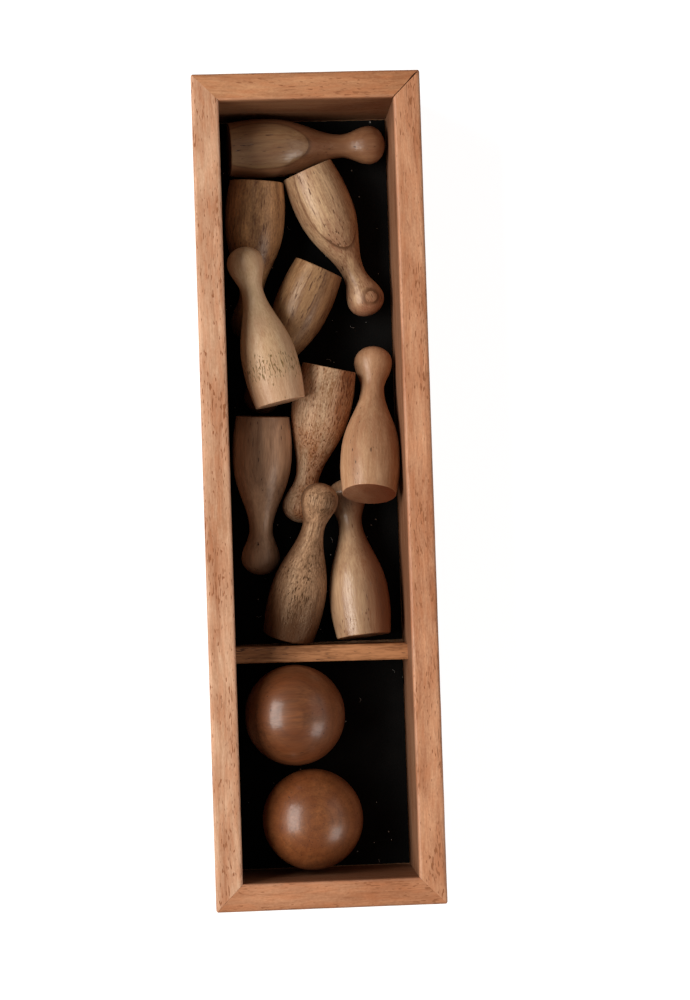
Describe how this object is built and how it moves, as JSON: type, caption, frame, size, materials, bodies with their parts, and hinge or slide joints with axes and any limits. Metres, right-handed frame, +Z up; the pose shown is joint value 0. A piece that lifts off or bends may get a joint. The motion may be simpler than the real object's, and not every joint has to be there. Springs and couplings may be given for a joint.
{
  "type": "table bowling game",
  "caption": "Open wooden box of mitred rails with a felt floor and a low divider, holding turned wooden pins in a long bay and wooden balls in a short one, for bowling on a table top.",
  "frame": {"origin": "centre of the box's underside", "axes": "+Z up out of the open box, +Y along the box towards the end wall of the pin bay, +X across the box"},
  "size_m": [0.0842, 0.3062, 0.051],
  "materials": {
    "rail_wood": "oiled satin, dark short pores",
    "rail_wood_pale": "oiled satin, dark short pores",
    "divider_wood": "oiled satin",
    "panel_wood": "plain unfinished",
    "felt": "matte wool felt",
    "pin_wood_pale": "turned and lacquered satin",
    "pin_wood_brown": "turned and lacquered satin",
    "pin_wood_red": "turned and lacquered satin",
    "pin_wood_dark": "turned and lacquered satin",
    "ball_wood": "turned and lacquered gloss"
  },
  "bodies": {
    "box": {"rail_left": "rail_wood_pale", "rail_right": "rail_wood", "rail_head": "rail_wood", "rail_foot": "rail_wood", "bottom_panel": "panel_wood", "felt_pins": "felt", "felt_balls": "felt", "divider": "divider_wood"},
    "pin_1": {"pin_1": "pin_wood_brown"},
    "pin_2": {"pin_2": "pin_wood_brown"},
    "pin_3": {"pin_3": "pin_wood_brown"},
    "pin_4": {"pin_4": "pin_wood_pale"},
    "pin_5": {"pin_5": "pin_wood_red"},
    "pin_6": {"pin_6": "pin_wood_red"},
    "pin_7": {"pin_7": "pin_wood_pale"},
    "pin_8": {"pin_8": "pin_wood_dark"},
    "pin_9": {"pin_9": "pin_wood_brown"},
    "pin_10": {"pin_10": "pin_wood_pale"},
    "ball_1": {"ball_1": "ball_wood"},
    "ball_2": {"ball_2": "ball_wood"}
  },
  "joints": [
    {"name": "lift_pin_3", "type": "slide", "parent": "box", "child": "pin_3", "axis": [0, 0, 1], "range_m": [0, 0.06]},
    {"name": "lift_pin_1", "type": "slide", "parent": "pin_3", "child": "pin_1", "axis": [0, 0, 1], "range_m": [0, 0.06]},
    {"name": "lift_pin_8", "type": "slide", "parent": "box", "child": "pin_8", "axis": [0, 0, 1], "range_m": [0, 0.06]},
    {"name": "lift_pin_6", "type": "slide", "parent": "box", "child": "pin_6", "axis": [0, 0, 1], "range_m": [0, 0.06]},
    {"name": "lift_pin_10", "type": "slide", "parent": "pin_6", "child": "pin_10", "axis": [0, 0, 1], "range_m": [0, 0.06]},
    {"name": "lift_pin_7", "type": "slide", "parent": "pin_10", "child": "pin_7", "axis": [0, 0, 1], "range_m": [0, 0.06]},
    {"name": "lift_pin_9", "type": "slide", "parent": "pin_10", "child": "pin_9", "axis": [0, 0, 1], "range_m": [0, 0.06]},
    {"name": "lift_pin_5", "type": "slide", "parent": "pin_6", "child": "pin_5", "axis": [0, 0, 1], "range_m": [0, 0.06]},
    {"name": "lift_pin_2", "type": "slide", "parent": "pin_5", "child": "pin_2", "axis": [0, 0, 1], "range_m": [0, 0.06]},
    {"name": "lift_pin_4", "type": "slide", "parent": "pin_2", "child": "pin_4", "axis": [0, 0, 1], "range_m": [0, 0.06]},
    {"name": "lift_ball_1", "type": "slide", "parent": "box", "child": "ball_1", "axis": [0, 0, 1], "range_m": [0, 0.06]},
    {"name": "lift_ball_2", "type": "slide", "parent": "box", "child": "ball_2", "axis": [0, 0, 1], "range_m": [0, 0.06]}
  ]
}
